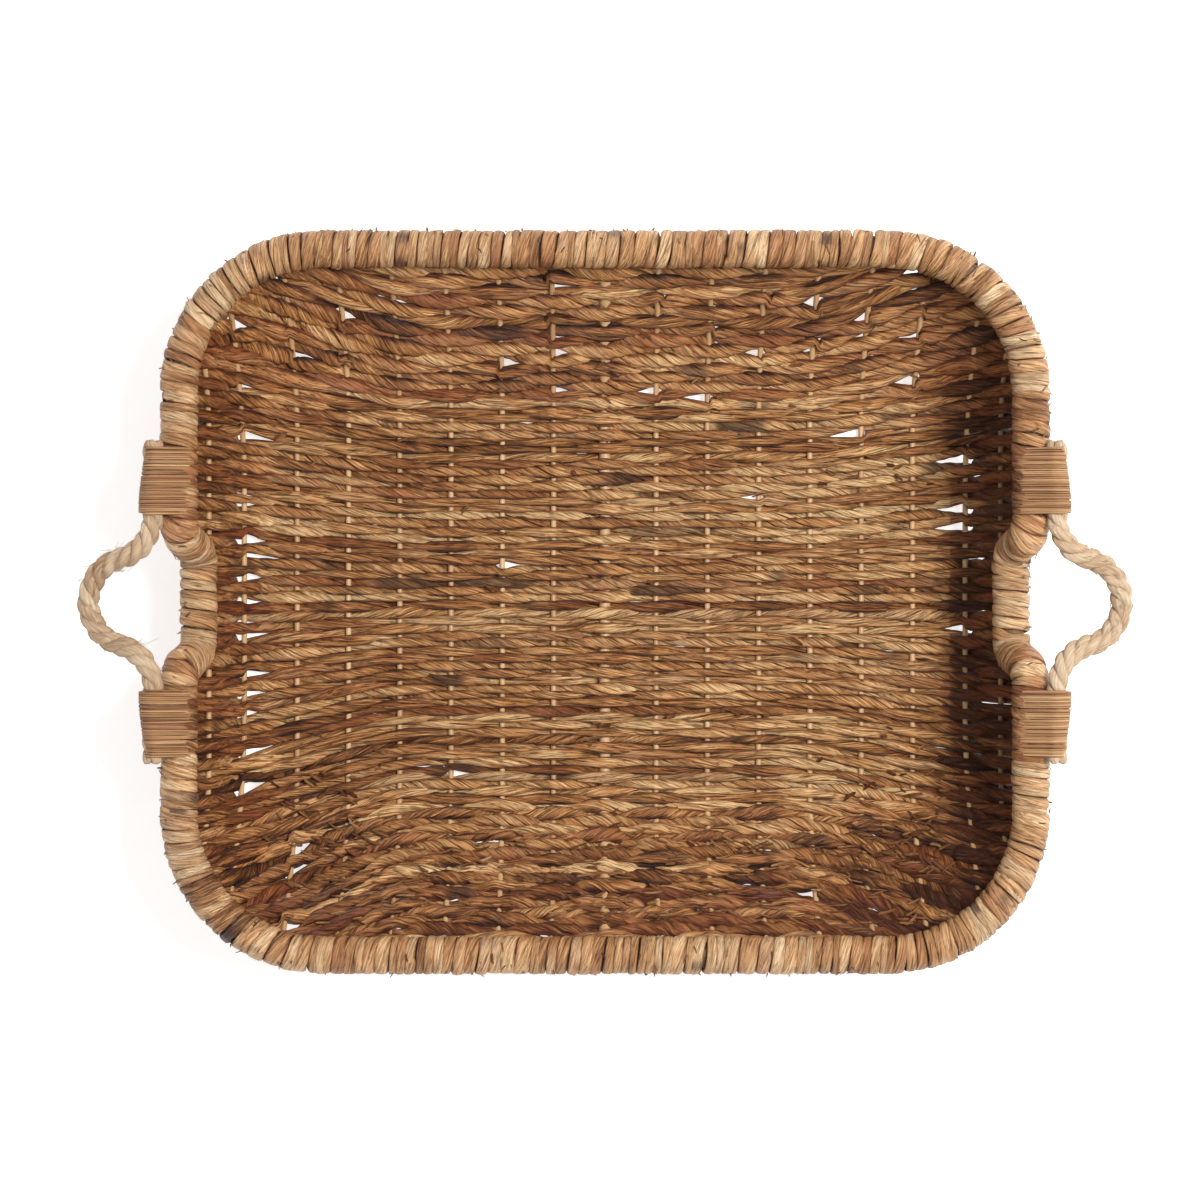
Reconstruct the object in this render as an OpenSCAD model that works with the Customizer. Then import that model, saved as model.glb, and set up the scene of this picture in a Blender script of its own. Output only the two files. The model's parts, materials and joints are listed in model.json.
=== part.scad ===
// Bread basket: a sheet woven over front-to-back stakes hangs in a wrapped rim,
// and a rope handle is bound to each short side. +X is to the right, +Y to the back,
// and the origin is on the resting face, under the middle of the rim.

/* [Rim] */
// Distance between the rim's centre lines, left to right
rim_w = 426; // [400:2:450]
// Distance between the rim's centre lines, front to back
rim_d = 353; // [330:1:370]
// Height of the rim's centre line above the resting face
rim_z = 84; // [76:1:96]
// Radius of the rim's corners, on its centre line
rim_corner_r = 72; // [60:1:80]
// Diameter of the pole inside the rim
core_d = 13; // [11:0.5:14]
// Diameter of the rim over its wrapping
wrap_d = 19; // [18:0.5:20]

/* [Hand dip] */
// How far the rim drops between a handle's two bindings
dip_drop = 25; // [20:1:28]
// Bend radius of the rim's centre line in the dip
dip_r = 11; // [10.5:0.5:12]
// Steepest angle of the rim in the dip
dip_angle = 72; // [64:1:76]

/* [Woven sheet] */
// Width of the flat floor
floor_w = 364; // [350:2:376]
// Depth of the flat floor
floor_d = 196; // [184:2:210]
// Corner radius of the flat floor
floor_corner_r = 50; // [40:1:60]
// Thickness of the woven sheet
weave_t = 8; // [7:0.5:9]
// How sharply the walls turn up, where 1 is a straight slope
wall_power = 1.6; // [1.3:0.1:2]

/* [Stakes] */
// Diameter of a stake
stake_d = 3; // [2.4:0.2:3.6]
// Distance from one stake to the next
stake_gap = 27; // [26:0.5:28]
// Diameter of the centre rib
rib_d = 6; // [5:0.5:7]

/* [Handles] */
// Diameter of the rope
rope_d = 11; // [10:0.5:11]
// Length of each binding along the rim
binding_len = 34; // [28:1:38]
// Free space between a handle's two bindings
binding_gap = 87; // [84:1:92]
// How far a handle's loop reaches out from the line it swings about
loop_reach = 34; // [30:1:36]
// Angle of a resting loop below the horizontal
loop_droop = 12; // [0:1:30]

/* [Hidden] */
$fn = 48;

half_w = rim_w / 2;
half_d = rim_d / 2;
straight_x = half_w - rim_corner_r;
straight_y = half_d - rim_corner_r;
core_r = core_d / 2;
wrap_r = wrap_d / 2;
mid_z = weave_t / 2;

// The woven sheet's middle surface. Its outline at rise t, from 0 at the floor to 1 at the
// rim's centre line, is a rounded rectangle.
function mix(a, b, t) = a + (b - a) * t;
function outline_x(t) = mix(floor_w / 2, half_w, t);
function outline_y(t) = mix(floor_d / 2, half_d, t);
function outline_r(t) = mix(floor_corner_r, rim_corner_r, t);
function sheet_z(t) = mid_z + (rim_z - mid_z) * pow(max(t, 0), wall_power);
function rise_at(z) = pow((z - mid_z) / (rim_z - mid_z), 1 / wall_power);

// How far a point in plan lies outside the outline at rise t
function outside(x, y, t) =
    let (px = abs(x) - outline_x(t) + outline_r(t), py = abs(y) - outline_y(t) + outline_r(t))
    norm([max(px, 0), max(py, 0)]) + min(max(px, py), 0) - outline_r(t);
// The rise of the sheet over a point in plan, by halving
function rise_over(x, y, low = 0, high = 1, steps = 16) =
    outside(x, y, 0) <= 0 ? 0
    : steps == 0 ? (low + high) / 2
    : let (t = (low + high) / 2)
      outside(x, y, t) > 0 ? rise_over(x, y, t, high, steps - 1) : rise_over(x, y, low, t, steps - 1);

// The dip is drawn in a plane that leans with the short wall: p runs along the rim from the
// binding to the middle, q down the wall.
lean = atan((half_w - outline_x(rise_at(rim_z - dip_drop))) / dip_drop);
dip_q = dip_drop / cos(lean);
dip_slope = (dip_q - 2 * dip_r * (1 - cos(dip_angle))) / sin(dip_angle);
dip_bend_p = dip_r * sin(dip_angle);
dip_bend_q = dip_r * (1 - cos(dip_angle));
dip_start = binding_gap / 2 - 1.5;
dip_p = 2 * dip_bend_p + dip_slope * cos(dip_angle);
function dip_depth(p) =
    p <= 0 ? 0
    : p < dip_bend_p ? dip_r - sqrt(dip_r * dip_r - p * p)
    : p < dip_p - dip_bend_p ? dip_bend_q + (p - dip_bend_p) * tan(dip_angle)
    : p < dip_p ? dip_q - dip_r + sqrt(dip_r * dip_r - pow(dip_p - p, 2))
    : dip_q;
function rim_z_at(y) = rim_z - dip_depth(dip_start - abs(y)) * cos(lean);

// The sheet's edges are tucked this far into the wrapping, and stop short of the pole
tuck = 2.7;
edge_gap = wrap_r - tuck;
edge_rise = rise_at(rim_z - edge_gap);
// The height of a short wall's edge, which keeps that distance from the dipping centre line
function edge_z(y) = min([
    for (n = [-8:8])
        let (step = edge_gap * n / 8)
        rim_z_at(y + step) - sqrt(edge_gap * edge_gap - step * step)
]);
// The rise of that edge at the fraction k of the wall's half length, by halving
function edge_rise_at(k, low = 0.4, high = 1, steps = 12) =
    steps == 0 ? low
    : let (t = (low + high) / 2, y = k * (outline_y(t) - outline_r(t)))
      sheet_z(t) < edge_z(y)
      ? edge_rise_at(k, t, high, steps - 1) : edge_rise_at(k, low, t, steps - 1);

// Points on the sheet at rise t, at the fraction k of a straight side or the angle of a corner
function long_side(t, k) = [k * (outline_x(t) - outline_r(t)), outline_y(t), sheet_z(t)];
function short_side(t, k) = [outline_x(t), k * (outline_y(t) - outline_r(t)), sheet_z(t)];
function corner(t, angle) = [
    outline_x(t) - outline_r(t) * (1 - cos(angle)),
    outline_y(t) - outline_r(t) * (1 - sin(angle)),
    sheet_z(t)
];
function unit(v) = v / norm(v);

// A closed slab between the grids of points on its inner and outer faces. The grids' rows climb
// the wall, and their columns go anticlockwise seen from above.
module slab(inner, outer) {
    rows = len(inner);
    cols = len(inner[0]);
    half = rows * cols;
    function at(side, i, j) = side * half + i * cols + j;
    points = concat([for (row = inner) each row], [for (row = outer) each row]);
    sheets = [
        for (i = [0:rows - 2], j = [0:cols - 2]) each [
            [at(0, i, j), at(0, i, j + 1), at(0, i + 1, j + 1)],
            [at(0, i, j), at(0, i + 1, j + 1), at(0, i + 1, j)],
            [at(1, i, j), at(1, i + 1, j + 1), at(1, i, j + 1)],
            [at(1, i, j), at(1, i + 1, j), at(1, i + 1, j + 1)]
        ]
    ];
    edges = concat(
        [for (j = [0:cols - 2]) each [
            [at(0, 0, j), at(1, 0, j), at(1, 0, j + 1)],
            [at(0, 0, j), at(1, 0, j + 1), at(0, 0, j + 1)],
            [at(0, rows - 1, j), at(1, rows - 1, j + 1), at(1, rows - 1, j)],
            [at(0, rows - 1, j), at(0, rows - 1, j + 1), at(1, rows - 1, j + 1)]
        ]],
        [for (i = [0:rows - 2]) each [
            [at(0, i, 0), at(1, i + 1, 0), at(1, i, 0)],
            [at(0, i, 0), at(0, i + 1, 0), at(1, i + 1, 0)],
            [at(0, i, cols - 1), at(1, i, cols - 1), at(1, i + 1, cols - 1)],
            [at(0, i, cols - 1), at(1, i + 1, cols - 1), at(0, i + 1, cols - 1)]
        ]]
    );
    polyhedron(points, concat(sheets, edges));
}

// The sheet's normal from two nearby points up the wall and two along it
nudge = 0.002;
function side_normal(kind, t, s) =
    let (
        a = wall_point(kind, t + nudge, s) - wall_point(kind, max(t - nudge, 0), s),
        b = wall_point(kind, t, s + nudge) - wall_point(kind, t, s - nudge),
        n = unit(cross(a, b))
    ) n[2] > 0 ? n : -n;
function wall_point(kind, t, s) =
    kind == "long" ? long_side(t, s) : kind == "short" ? short_side(t, s) : corner(t, 90 * s);
wall_rows = 9;
// One wall or corner, where s runs over the list along and tops holds each column's last rise
module wall(kind, along, tops) {
    function rise(i, j) = tops[j] * i / wall_rows;
    function shifted(way) = [
        for (i = [0:wall_rows]) [
            for (j = [0:len(along) - 1])
                wall_point(kind, rise(i, j), along[j])
                + way * mid_z * side_normal(kind, rise(i, j), along[j])
        ]
    ];
    // A long wall's columns run the other way round, so they are taken from the last
    last = len(along) - 1;
    order = kind == "long" ? [for (n = [last:-1:0]) n] : [for (n = [0:last]) n];
    outer = [for (row = shifted(-1)) [for (n = order) row[n]]];
    inner = [for (row = shifted(1)) [for (n = order) row[n]]];
    slab(inner, outer);
}
bark = "peru";
corner_steps = 9;
module long_wall() {
    color(bark) wall("long", [-1, 1], [edge_rise, edge_rise]);
}
dip_steps = 28;
module short_wall() {
    along = [for (n = [0:dip_steps]) -1 + 2 * n / dip_steps];
    color("sienna") wall("short", along, [for (k = along) edge_rise_at(k)]);
}
module corner_weave() {
    along = [for (n = [0:corner_steps]) n / corner_steps];
    color("saddlebrown") wall("corner", along, [for (s = along) edge_rise]);
}
module floor_weave() {
    inner_w = floor_w - 2 * floor_corner_r;
    inner_d = floor_d - 2 * floor_corner_r;
    color(bark) linear_extrude(weave_t) {
        square([floor_w, inner_d], center = true);
        square([inner_w, floor_d], center = true);
        for (x = [-1, 1], y = [-1, 1])
            translate([x * inner_w / 2, y * inner_d / 2]) circle(floor_corner_r, $fn = 96);
    }
}

// A pipe, or a rod where the bore is 0, swept along stations of [place, heading, side]
module pipe(stations, r, bore = 0, sides = 8) {
    last = len(stations) - 1;
    walls = bore > 0 ? [r, bore] : [r];
    points = [
        for (radius = walls, s = stations, a = [0:sides - 1])
            let (side = unit(s[2] - (s[2] * s[1]) * s[1]), up = cross(s[1], side), angle = 360 * a / sides)
            s[0] + radius * (cos(angle) * side + sin(angle) * up)
    ];
    function at(wall, i, a) = (wall * (last + 1) + i) * sides + a % sides;
    // A quad as two triangles, turned over where way is 1
    function quad(a, b, c, d, way) = way == 0 ? [[a, b, c], [a, c, d]] : [[c, b, a], [d, c, a]];
    skins = [
        for (wall = [0:len(walls) - 1], i = [0:last - 1], a = [0:sides - 1])
            each quad(at(wall, i, a), at(wall, i + 1, a), at(wall, i + 1, a + 1), at(wall, i, a + 1), wall)
    ];
    caps = bore > 0
        ? [for (end = [0, 1], a = [0:sides - 1])
            let (i = end * last)
            each quad(at(0, i, a), at(0, i, a + 1), at(1, i, a + 1), at(1, i, a), end)]
        : [
            [for (a = [0:sides - 1]) at(0, 0, a)],
            [for (a = [sides - 1:-1:0]) at(0, last, a)]
        ];
    polyhedron(points, concat(skins, caps));
}
// Where a stake at x meets the inside of the rim, in plan
function stake_reach(x) =
    let (t = edge_rise, side = outline_x(t) - outline_r(t))
    abs(x) < side ? outline_y(t)
    : outline_y(t) - outline_r(t) + sqrt(pow(outline_r(t), 2) - pow(abs(x) - side, 2));
stake_steps = 12;
module stake_at(x, r) {
    reach = stake_reach(x);
    // Rings lie close together where the stake climbs a long wall
    level = abs(x) < floor_w / 2 ? floor_d / 2 - 12 : 60;
    climb = [for (n = [0:stake_steps]) mix(level, reach, n / stake_steps)];
    rings = concat([for (n = [stake_steps:-1:0]) -climb[n]], climb);
    places = [for (y = rings) [x, y, sheet_z(rise_over(x, y))]];
    last = len(places) - 1;
    pipe([
        for (i = [0:last])
            [places[i], unit(places[min(i + 1, last)] - places[max(i - 1, 0)]), [1, 0, 0]]
    ], r);
}
// The outermost stake runs part way up the short wall
outer_stake_x = 7 * stake_gap + 14;
module stake(side, number) {
    color("burlywood")
        stake_at(side * (number < 8 ? number * stake_gap : outer_stake_x), stake_d / 2);
}
module centre_rib() {
    color("tan") stake_at(0, rib_d / 2);
}

// Stretches of the rim, of radius r
module rim_long(r) {
    translate([-straight_x, half_d, rim_z]) rotate([0, 90, 0]) cylinder(h = 2 * straight_x, r = r);
}
module rim_corner(r) {
    translate([straight_x, straight_y, rim_z])
        rotate_extrude(angle = 90) translate([rim_corner_r, 0]) circle(r);
}
module rim_short(r) {
    translate([half_w, straight_y, rim_z]) rotate([90, 0, 0])
        cylinder(h = straight_y - dip_start, r = r);
}
// Stations along the dip from its rear end to its middle, as bend, slope and bend
dip_bend_steps = 6;
function dip_station(p, q, angle) = [
    [half_w - q * sin(lean), dip_start - p, rim_z - q * cos(lean)],
    [-sin(angle) * sin(lean), -cos(angle), -sin(angle) * cos(lean)],
    [1, 0, 0]
];
function bend_angle(n) = dip_angle * n / dip_bend_steps;
half_dip = concat(
    [for (n = [0:dip_bend_steps])
        let (angle = bend_angle(n))
        dip_station(dip_r * sin(angle), dip_r * (1 - cos(angle)), angle)],
    [for (n = [dip_bend_steps:-1:0])
        let (angle = bend_angle(n))
        dip_station(dip_p - dip_r * sin(angle), dip_q - dip_r * (1 - cos(angle)), angle)]
);
// The same stations seen in a mirror across y, in the opposite order
function mirrored_y(stations) = [
    for (i = [len(stations) - 1:-1:0])
        let (s = stations[i])
        [[s[0][0], -s[0][1], s[0][2]], [-s[1][0], s[1][1], -s[1][2]], s[2]]
];
dip_stations = concat(half_dip, mirrored_y(half_dip));
rim_sides = 16;

// The pole is one sweep round the whole rim: down the right side, along the front and back
core_corner_steps = 6;
function turned(v, x, y) = [v[0] * x, v[1] * y, v[2]];
function corner_stations(x, y, first) = [
    for (n = [0:core_corner_steps])
        let (angle = 90 * (first + (1 - 2 * first) * n / core_corner_steps))
        [
            [x * (straight_x + rim_corner_r * cos(angle)), y * (straight_y + rim_corner_r * sin(angle)), rim_z],
            (first == 1 ? 1 : -1) * [x * sin(angle), -y * cos(angle), 0],
            [x * cos(angle), y * sin(angle), 0]
        ]
];
module half_core() {
    middle = [[0, half_d, rim_z], [1, 0, 0], [0, 1, 0]];
    end = [[0, -half_d, rim_z], [-1, 0, 0], [0, -1, 0]];
    pipe(
        concat([middle], corner_stations(1, 1, 1), dip_stations, corner_stations(1, -1, 0), [end]),
        core_r, sides = 12
    );
}
module wrapping() {
    color("burlywood") difference() {
        children(0);
        children(1);
    }
}
module quadrant(x, y) {
    mirror([x, 0, 0]) mirror([0, y, 0]) children();
}
module rim_core() {
    color("wheat") for (x = [0, 1]) quadrant(x, 0) half_core();
}
module wrap_long() wrapping() { rim_long(wrap_r); rim_long(core_r); }
module wrap_corner() wrapping() { rim_corner(wrap_r); rim_corner(core_r); }
module wrap_short() wrapping() { rim_short(wrap_r); rim_short(core_r); }
module wrap_dip() {
    color("burlywood") pipe(dip_stations, wrap_r, core_r, rim_sides);
}

// A handle's rope lies against the outer shoulder of the rim, and swings about its own tails
rope_r = rope_d / 2;
rope_x = half_w + 11.5;
rope_z = rim_z + 10.5;
binding_wall = 1.5;
rope_play = 0.05;
binding_start = binding_gap / 2;
module binding() {
    wide_r = wrap_r + binding_wall;
    thin_r = rope_r + binding_wall;
    run = norm([rope_x - half_w, rope_z - rim_z]);
    color("tan") translate([half_w, binding_start + binding_len, rim_z])
        rotate([90, 0, 0]) rotate([0, 0, atan2(rope_z - rim_z, rope_x - half_w)])
        difference() {
            hull() {
                cylinder(h = binding_len, r = wide_r, $fn = 32);
                translate([run, 0]) cylinder(h = binding_len, r = thin_r, $fn = 32);
            }
            translate([0, 0, -1]) cylinder(h = binding_len + 2, r = wrap_r);
            translate([run, 0, -1]) cylinder(h = binding_len + 2, r = rope_r + rope_play);
        }
}

// The loop is four equal arcs, turned so that it reaches out by loop_reach
tail_past = 2.5;
loop_half = binding_start - 0.5;
loop_turn = 2 * atan(loop_reach / loop_half);
loop_r = loop_half / (2 * sin(loop_turn));
loop_bend_steps = 7;
function loop_station(x, y, angle) = [[x, y, 0], [sin(angle), -cos(angle), 0], [0, 0, 1]];
half_loop = concat(
    [for (n = [0:loop_bend_steps])
        let (angle = loop_turn * n / loop_bend_steps)
        loop_station(loop_r * (1 - cos(angle)), loop_half - loop_r * sin(angle), angle)],
    [for (n = [loop_bend_steps - 1:-1:1])
        let (angle = loop_turn * n / loop_bend_steps)
        loop_station(loop_reach - loop_r * (1 - cos(angle)), loop_r * sin(angle), angle)],
    [loop_station(loop_reach, 0, 0)]
);
function mirrored_loop(stations) = [
    for (i = [len(stations) - 2:-1:0])
        let (s = stations[i])
        [turned(s[0], 1, -1), turned(s[1], -1, 1), s[2]]
];
// The loop's ends sit inside the ends of the two round tails
tail_overlap = 0.8;
module rope_loop() {
    end = loop_station(0, loop_half + tail_overlap, 0);
    route = concat([end], half_loop);
    pipe(concat(route, mirrored_loop(route)), rope_r - rope_play, sides = 16);
}
module rope_tail() {
    translate([0, binding_start + binding_len + tail_past, 0]) rotate([90, 0, 0])
        cylinder(h = binding_len + tail_past + binding_start - loop_half, r = rope_r);
}
module rope_handle() {
    color("wheat") translate([rope_x, 0, rope_z]) rotate([0, loop_droop, 0])
        {
            rope_loop();
            for (y = [0, 1]) mirror([0, y, 0]) rope_tail();
        }
}

floor_weave();
long_wall();  // back_wall_weave
quadrant(0, 1) long_wall();  // front_wall_weave
quadrant(1, 0) short_wall();  // left_wall_weave
short_wall();  // right_wall_weave
rim_core();
wrap_long();  // rim_wrap_back
quadrant(0, 1) wrap_long();  // rim_wrap_front
centre_rib();
for (n = [1:8]) {
    stake(-1, n);
    stake(1, n);
}
for (x = [0, 1]) {
    across = ["right", "left"][x];
    quadrant(x, 0) wrap_dip();
    quadrant(x, 0) rope_handle();
    for (y = [0, 1]) {
        place = str(["back", "front"][y], "_", across);
        quadrant(x, y) corner_weave();
        quadrant(x, y) wrap_corner();
        end = str(across, ["_rear", "_fore"][y]);
        quadrant(x, y) wrap_short();
        quadrant(x, y) binding();
    }
}
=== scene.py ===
import json
import math

import bmesh
import bpy
import numpy as np
from mathutils.kdtree import KDTree
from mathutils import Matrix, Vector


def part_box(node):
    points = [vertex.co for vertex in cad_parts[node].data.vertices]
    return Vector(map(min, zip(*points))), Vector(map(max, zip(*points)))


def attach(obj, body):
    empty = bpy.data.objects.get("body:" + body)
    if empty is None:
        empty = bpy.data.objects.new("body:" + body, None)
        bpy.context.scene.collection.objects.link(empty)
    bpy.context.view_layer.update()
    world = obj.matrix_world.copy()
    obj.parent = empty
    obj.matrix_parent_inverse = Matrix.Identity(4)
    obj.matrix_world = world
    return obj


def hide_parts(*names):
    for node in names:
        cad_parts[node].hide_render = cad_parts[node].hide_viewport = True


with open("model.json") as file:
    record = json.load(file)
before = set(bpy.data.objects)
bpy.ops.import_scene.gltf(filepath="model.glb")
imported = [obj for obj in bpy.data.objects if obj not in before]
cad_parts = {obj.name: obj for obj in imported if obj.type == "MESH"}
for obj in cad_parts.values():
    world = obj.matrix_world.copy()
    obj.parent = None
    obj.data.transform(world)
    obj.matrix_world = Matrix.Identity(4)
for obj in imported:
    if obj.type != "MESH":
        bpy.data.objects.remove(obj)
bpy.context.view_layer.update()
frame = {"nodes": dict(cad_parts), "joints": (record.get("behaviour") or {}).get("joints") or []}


def nodeBox(node):
    low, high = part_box(node)
    return np.array(low) * 1000, np.array(high) * 1000


def jointPlace(name):
    found = [joint for joint in frame["joints"] if joint["name"] == name]
    return np.array(found[0]["pos_m"]) * 1000


# The rim, the floor and the dip, measured on the frame
backLow, backHigh = nodeBox("rim_wrap_back")
sideLow, sideHigh = nodeBox("rim_wrap_right_rear")
dipLow = nodeBox("rim_wrap_right_dip")[0]
floorHigh = nodeBox("floor_weave")[1]
bindLow, bindHigh = nodeBox("binding_right_rear")
rimRadius = (backHigh[2] - backLow[2]) / 2
rimX = (sideLow[0] + sideHigh[0]) / 2
rimY = (backLow[1] + backHigh[1]) / 2
rimZ = (backLow[2] + backHigh[2]) / 2
straightX = backHigh[0]
straightY = sideHigh[1]
rimCorner = rimX - straightX
dipStart = sideLow[1]
dipDrop = rimZ - rimRadius - dipLow[2]
floorX = floorHigh[0]
floorY = floorHigh[1]
midZ = floorHigh[2] / 2
print("rim", round(2 * rimX), "x", round(2 * rimY), "on its centre line, dip", round(dipDrop))


class Value:
    # A socket of a node tree, so that sums on it add their own nodes
    def __init__(self, tree, socket=None):
        self.tree = tree
        self.socket = socket

    def node(self, kind, settings=None, inputs=None, output=0):
        made = self.tree.nodes.new(kind)
        for key, value in (settings or {}).items():
            if key == "stops":
                setStops(made.color_ramp, value)
            else:
                setattr(made, key, value)
        for key, value in (inputs or {}).items():
            if isinstance(value, Value):
                self.tree.links.new(value.socket, made.inputs[key])
            else:
                made.inputs[key].default_value = value
        return Value(self.tree, made.outputs[output] if made.outputs else None)

    def part(self, output):
        return Value(self.tree, self.socket.node.outputs[output])

    def math(self, operation, first, second):
        return self.node("ShaderNodeMath", {"operation": operation}, {0: first, 1: second})

    def __add__(self, other):
        return self.math("ADD", self, other)

    def __sub__(self, other):
        return self.math("SUBTRACT", self, other)

    def __mul__(self, other):
        return self.math("MULTIPLY", self, other)

    def __abs__(self):
        return self.math("ABSOLUTE", self, 0.0)

    def __rsub__(self, other):
        return self.math("SUBTRACT", other, self)

    __radd__ = __add__
    __rmul__ = __mul__

    def between(self, low, high):
        # 0 below low and 1 above high, smooth in between
        return self.node(
            "ShaderNodeMapRange",
            {"interpolation_type": "SMOOTHSTEP"},
            {0: self, 1: low, 2: high, 3: 0.0, 4: 1.0},
        )

    def noise(self, stretch, scale, detail=3.0, rough=0.55):
        place = self.node("ShaderNodeVectorMath", {"operation": "MULTIPLY"}, {0: self, 1: stretch})
        return self.node(
            "ShaderNodeTexNoise",
            {},
            {"Vector": place, "Scale": scale, "Detail": detail, "Roughness": rough},
        )

    def tinted(self, colour, amount, blend="MIX"):
        return self.node(
            "ShaderNodeMix",
            {"data_type": "RGBA", "blend_type": blend, "clamp_factor": True},
            {0: amount, 6: self, 7: colour},
            output=2,
        )


def setStops(ramp, stops):
    while len(ramp.elements) > 1:
        ramp.elements.remove(ramp.elements[-1])
    ramp.elements[0].position = stops[0][0]
    ramp.elements[0].color = (*stops[0][1], 1)
    for position, colour in stops[1:]:
        ramp.elements.new(position).color = (*colour, 1)


finishes = {
    "barkWeave": {
        "stops": [
            (0.0, (0.040, 0.012, 0.005)),
            (0.2, (0.140, 0.045, 0.014)),
            (0.45, (0.385, 0.155, 0.048)),
            (0.7, (0.650, 0.308, 0.108)),
            (1.0, (0.930, 0.610, 0.300)),
        ],
        "red": (0.300, 0.078, 0.026),
        "stain": (0.085, 0.035, 0.019),
        "shadedCrease": 0.95,
        "contrast": 1.0,
        "bump": 1.0,
        "rough": 0.42,
    },
    "rimBark": {
        "stops": [
            (0.0, (0.068, 0.024, 0.010)),
            (0.2, (0.250, 0.100, 0.036)),
            (0.45, (0.550, 0.272, 0.112)),
            (0.7, (0.740, 0.425, 0.200)),
            (1.0, (0.930, 0.670, 0.400)),
        ],
        "red": (0.380, 0.130, 0.050),
        "stain": (0.060, 0.024, 0.026),
        "shadedCrease": 0.6,
        "contrast": 0.85,
        "bump": 1.0,
        "rough": 0.44,
    },
    "splitCane": {
        "stops": [
            (0.0, (0.075, 0.030, 0.012)),
            (0.3, (0.260, 0.124, 0.048)),
            (0.6, (0.440, 0.236, 0.102)),
            (1.0, (0.640, 0.400, 0.200)),
        ],
        "red": (0.300, 0.100, 0.050),
        "stain": (0.090, 0.040, 0.026),
        "shadedCrease": 0.3,
        "contrast": 0.8,
        "bump": 0.5,
        "rough": 0.5,
    },
    "paleCane": {
        "stops": [
            (0.0, (0.270, 0.130, 0.052)),
            (0.4, (0.560, 0.345, 0.165)),
            (0.75, (0.700, 0.480, 0.270)),
            (1.0, (0.800, 0.610, 0.390)),
        ],
        "red": (0.420, 0.200, 0.090),
        "stain": (0.200, 0.100, 0.050),
        "shadedCrease": 0.0,
        "contrast": 0.45,
        "bump": 0.2,
        "rough": 0.4,
    },
    "rope": {
        "stops": [
            (0.0, (0.200, 0.105, 0.055)),
            (0.3, (0.430, 0.270, 0.155)),
            (0.6, (0.620, 0.440, 0.280)),
            (1.0, (0.820, 0.660, 0.480)),
        ],
        "red": (0.520, 0.280, 0.160),
        "stain": (0.300, 0.160, 0.080),
        "shadedCrease": 0.0,
        "contrast": 1.0,
        "bump": 1.0,
        "rough": 0.75,
    },
}


def fibreMaterial(name):
    # Fibres that run along a strand, from its attributes: "fibre" is the place round and along
    # it, and "shade" is its lightness, redness and stain
    look = finishes[name]
    material = bpy.data.materials.new(name)
    material.use_nodes = True
    tree = material.node_tree
    tree.nodes.clear()
    start = Value(tree)
    fibre = start.node("ShaderNodeAttribute", {"attribute_name": "fibre"}, output=1)
    shade = start.node("ShaderNodeAttribute", {"attribute_name": "shade"}, output=1)
    tone = start.node("ShaderNodeSeparateXYZ", {}, {0: shade})
    red = tone.part(1)
    stain = tone.part(2)
    fine = fibre.noise((1.0, 1.0, 1.3), 7.0, 4.0, 0.65)
    broad = fibre.noise((1.0, 1.0, 2.6), 2.4, 3.0, 0.55)
    wrinkle = 1 - abs(fibre.noise((1.0, 1.0, 2.0), 3.2, 2.0, 0.5) - 0.5).between(0.0, 0.05)
    around = start.node("ShaderNodeSeparateXYZ", {}, {0: fibre})
    square = around * around
    fold = 1 - (square * (square - 1) + 0.25).between(0.0, 0.035)
    fading = fibre.noise((1.0, 1.0, 4.0), 1.7, 1.0, 0.5).between(0.4, 0.6)
    # The folds between the section's lobes and the wrinkles are darkened in colour as well as sunk in the
    # bump: painted shade in the creases, partly the bark's own dark cracks
    shadedCrease = (fold * (fading * 0.6 + 0.05) + wrinkle * 0.6) * look["shadedCrease"]
    level = tone + (fine - 0.5) * look["contrast"] + (broad - 0.5) * look["contrast"] + 0.5
    colour = level.node("ShaderNodeValToRGB", {"stops": look["stops"]}, {0: level})
    colour = colour.tinted((*look["red"], 1), red * 0.75)
    colour = colour.tinted((*look["stain"], 1), stain * 0.92)
    colour = colour.tinted((0.12, 0.05, 0.03, 1), shadedCrease, "MULTIPLY")
    height = fine + broad * 0.8 - shadedCrease * 1.2
    bump = height.node(
        "ShaderNodeBump", {}, {"Strength": look["bump"], "Distance": 0.0013, "Height": height}
    )
    rough = (1 - fine) * 0.3 + (look["rough"] - 0.1)
    skin = start.node(
        "ShaderNodeBsdfPrincipled",
        {},
        {"Base Color": colour, "Roughness": rough, "Normal": bump, "Specular IOR Level": 0.5},
    )
    start.node("ShaderNodeOutputMaterial", {}, {"Surface": skin})
    return material


def poleMaterial():
    # The bare pole inside the rim, which has only its place to go by
    material = bpy.data.materials.new("rattanPole")
    material.use_nodes = True
    tree = material.node_tree
    tree.nodes.clear()
    start = Value(tree)
    place = start.node("ShaderNodeTexCoord", output=3)
    grain = place.noise((60.0, 60.0, 60.0), 3.0, 5.0, 0.6)
    stops = [(0.3, (0.08, 0.04, 0.018)), (0.7, (0.24, 0.13, 0.055))]
    colour = grain.node("ShaderNodeValToRGB", {"stops": stops}, {0: grain})
    bump = grain.node("ShaderNodeBump", {}, {"Strength": 0.3, "Distance": 0.0005, "Height": grain})
    rough = grain * 0.3 + 0.4
    skin = start.node(
        "ShaderNodeBsdfPrincipled", {}, {"Base Color": colour, "Roughness": rough, "Normal": bump}
    )
    start.node("ShaderNodeOutputMaterial", {}, {"Surface": skin})
    return material


def unit(v):
    return v / np.maximum(np.linalg.norm(v, axis=-1, keepdims=True), 1e-9)


def mix(a, b, t):
    return a + (b - a) * t


def smooth(t):
    t = np.clip(t, 0, 1)
    return t * t * (3 - 2 * t)


def along(points):
    # Distance along each strand, from 0 at its start
    steps = np.linalg.norm(np.diff(points, axis=1), axis=2)
    return np.concatenate([np.zeros((len(points), 1)), np.cumsum(steps, axis=1)], axis=1)


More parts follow.
